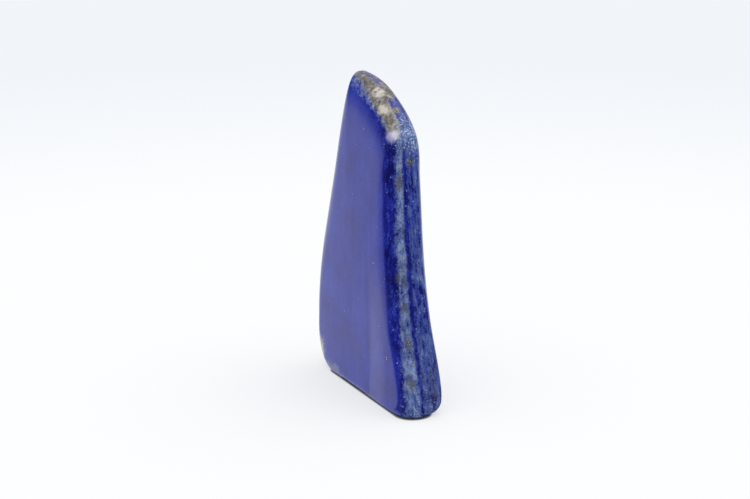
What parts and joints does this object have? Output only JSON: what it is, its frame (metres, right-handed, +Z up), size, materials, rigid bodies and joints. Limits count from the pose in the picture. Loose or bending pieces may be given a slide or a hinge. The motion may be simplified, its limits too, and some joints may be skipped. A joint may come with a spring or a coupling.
{
  "type": "polished lapis lazuli freeform",
  "caption": "Upright polished lapis lazuli freeform: a tall rounded slab with a slanted top, a swelling back and a flat sawn base that it stands on.",
  "frame": {"origin": "on the ground plane, under the middle of the stone's box", "axes": "+Z up; X along the broad faces, +X towards the narrow front edge with the flared foot; Y through the thickness"},
  "size_m": [0.0734, 0.0176, 0.1115],
  "materials": {
    "lapis": "polished ultramarine lapis lazuli with grey calcite bands and gold pyrite flecks"
  },
  "bodies": {
    "root": {"stone": "lapis"}
  },
  "joints": []
}
